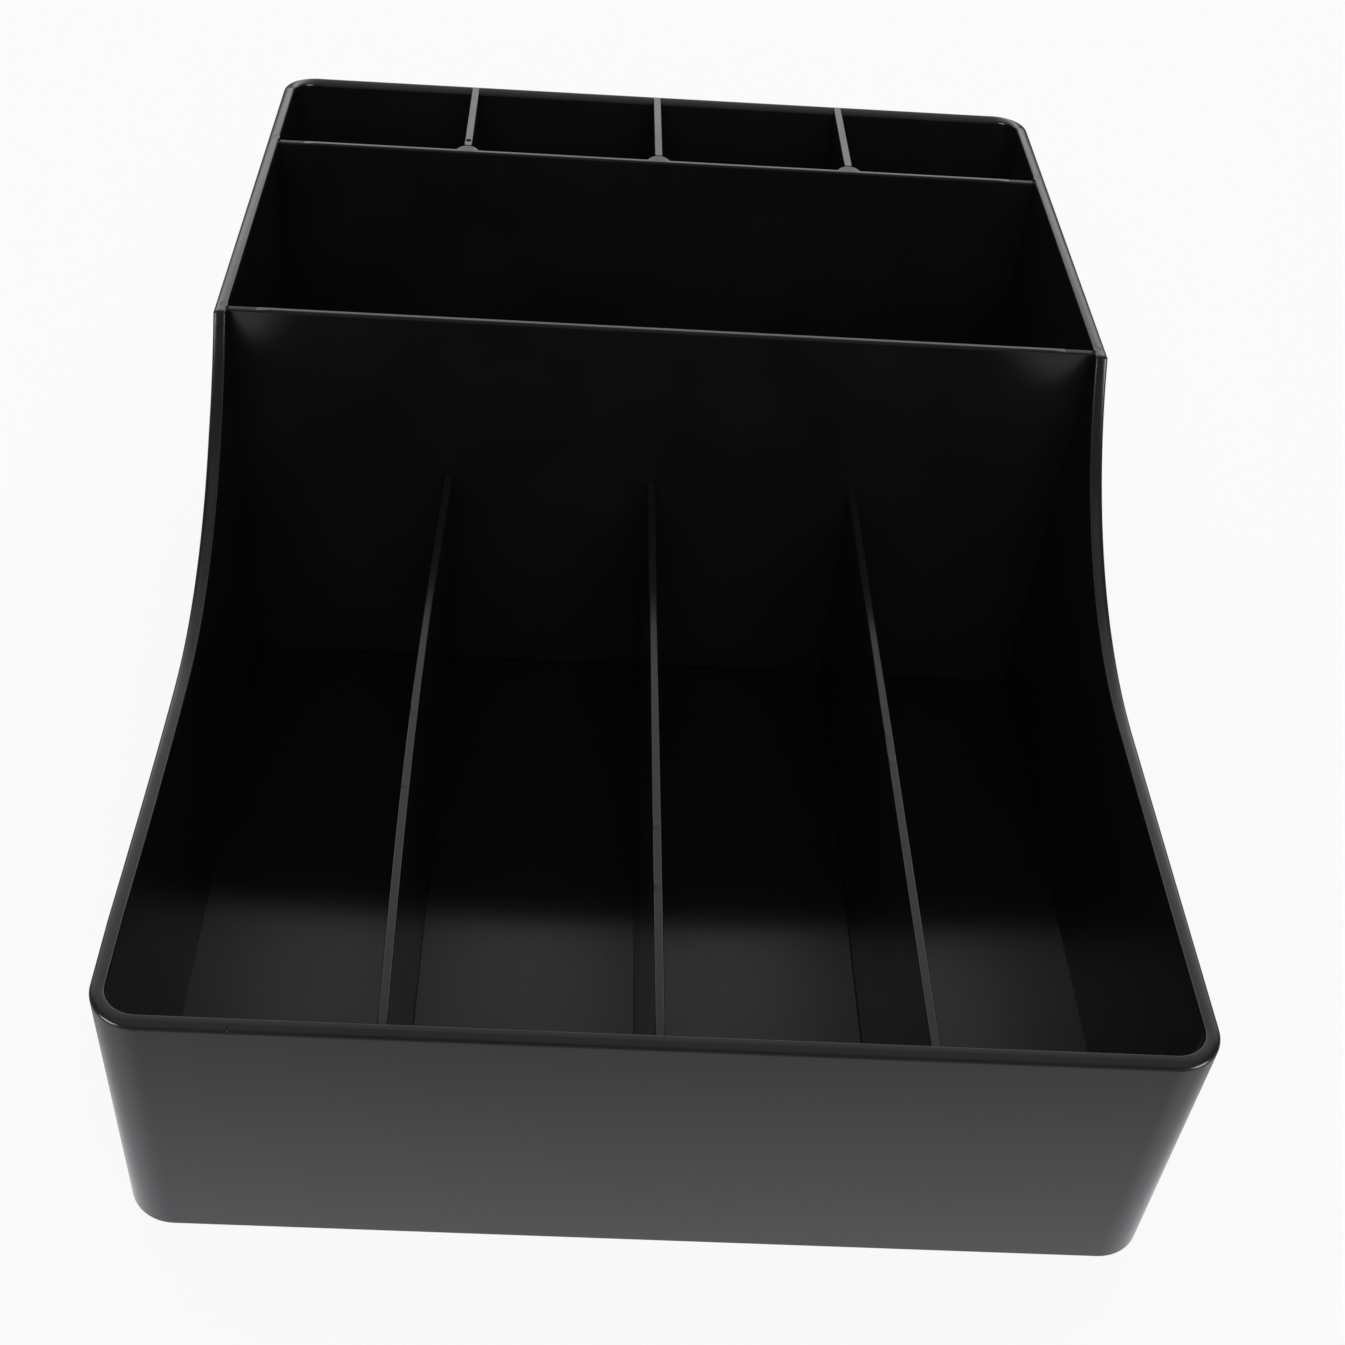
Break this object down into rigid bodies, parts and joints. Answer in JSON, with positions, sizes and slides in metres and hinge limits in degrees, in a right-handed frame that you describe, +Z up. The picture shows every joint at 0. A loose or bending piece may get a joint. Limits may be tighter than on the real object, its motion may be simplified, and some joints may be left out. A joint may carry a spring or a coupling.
{
  "type": "tea bag organizer",
  "caption": "Black moulded counter tray for tea bags: open lanes in front, a cross bay and small cells behind, with lift-out partitions and sides that sweep up to the rear.",
  "frame": {"origin": "on the table, under the middle of the tray's outer box", "axes": "+Z up, +Y from the low front to the tall rear, +X to the right of a person facing the front"},
  "size_m": [0.283, 0.415, 0.142],
  "materials": {
    "tray_plastic": "satin",
    "panel_plastic": "satin"
  },
  "bodies": {
    "tray": {"tray_body": "tray_plastic"},
    "front_partition": {"front_partition": "panel_plastic"},
    "rear_partition": {"rear_partition": "panel_plastic"},
    "long_divider_left": {"long_divider_left": "panel_plastic"},
    "long_divider_middle": {"long_divider_middle": "panel_plastic"},
    "long_divider_right": {"long_divider_right": "panel_plastic"},
    "short_divider_left": {"short_divider_left": "panel_plastic"},
    "short_divider_middle": {"short_divider_middle": "panel_plastic"},
    "short_divider_right": {"short_divider_right": "panel_plastic"}
  },
  "joints": [
    {"name": "front_partition_lift", "type": "slide", "parent": "tray", "child": "front_partition", "axis": [0, 0, 1], "range_m": [0, 0.145]},
    {"name": "rear_partition_lift", "type": "slide", "parent": "tray", "child": "rear_partition", "axis": [0, 0, 1], "range_m": [0, 0.145]},
    {"name": "long_divider_left_lift", "type": "slide", "parent": "tray", "child": "long_divider_left", "axis": [0, 0, 1], "range_m": [0, 0.09]},
    {"name": "long_divider_middle_lift", "type": "slide", "parent": "tray", "child": "long_divider_middle", "axis": [0, 0, 1], "range_m": [0, 0.09]},
    {"name": "long_divider_right_lift", "type": "slide", "parent": "tray", "child": "long_divider_right", "axis": [0, 0, 1], "range_m": [0, 0.09]},
    {"name": "short_divider_left_lift", "type": "slide", "parent": "tray", "child": "short_divider_left", "axis": [0, 0, 1], "range_m": [0, 0.145]},
    {"name": "short_divider_middle_lift", "type": "slide", "parent": "tray", "child": "short_divider_middle", "axis": [0, 0, 1], "range_m": [0, 0.145]},
    {"name": "short_divider_right_lift", "type": "slide", "parent": "tray", "child": "short_divider_right", "axis": [0, 0, 1], "range_m": [0, 0.145]}
  ]
}
